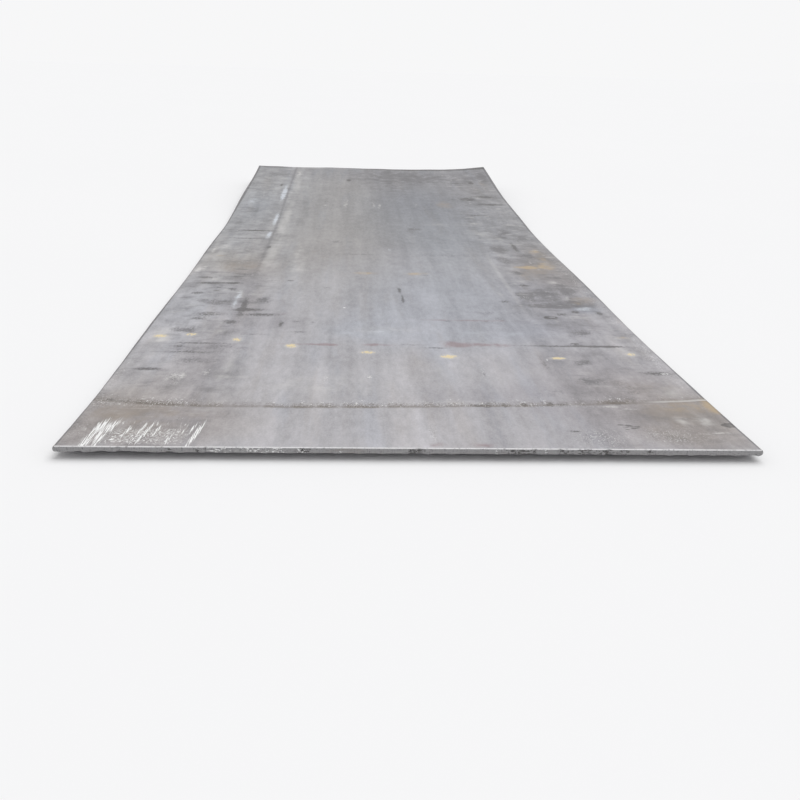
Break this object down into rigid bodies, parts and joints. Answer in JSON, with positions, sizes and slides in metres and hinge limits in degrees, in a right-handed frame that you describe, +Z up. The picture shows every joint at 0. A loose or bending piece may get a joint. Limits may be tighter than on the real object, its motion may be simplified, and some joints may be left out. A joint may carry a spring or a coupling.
{
  "type": "wear plate",
  "caption": "Flat rectangular hot-rolled steel wear plate, uncut stock with rounded mill edges, torch-cut ends, a slight curl at the front end and a shallow upward bend towards the back end.",
  "frame": {"origin": "on the floor, under the middle of the plate's plan", "axes": "+X across the plate to the right seen from its front end, +Y along the plate from the front end to the back end, +Z up"},
  "size_m": [1.9999, 6, 0.1747],
  "materials": {
    "mill_scale_steel": "grey mill scale with rust stains, chalk strokes and scuffs, matt to satin"
  },
  "bodies": {
    "root": {"wear_plate": "mill_scale_steel"}
  },
  "joints": []
}
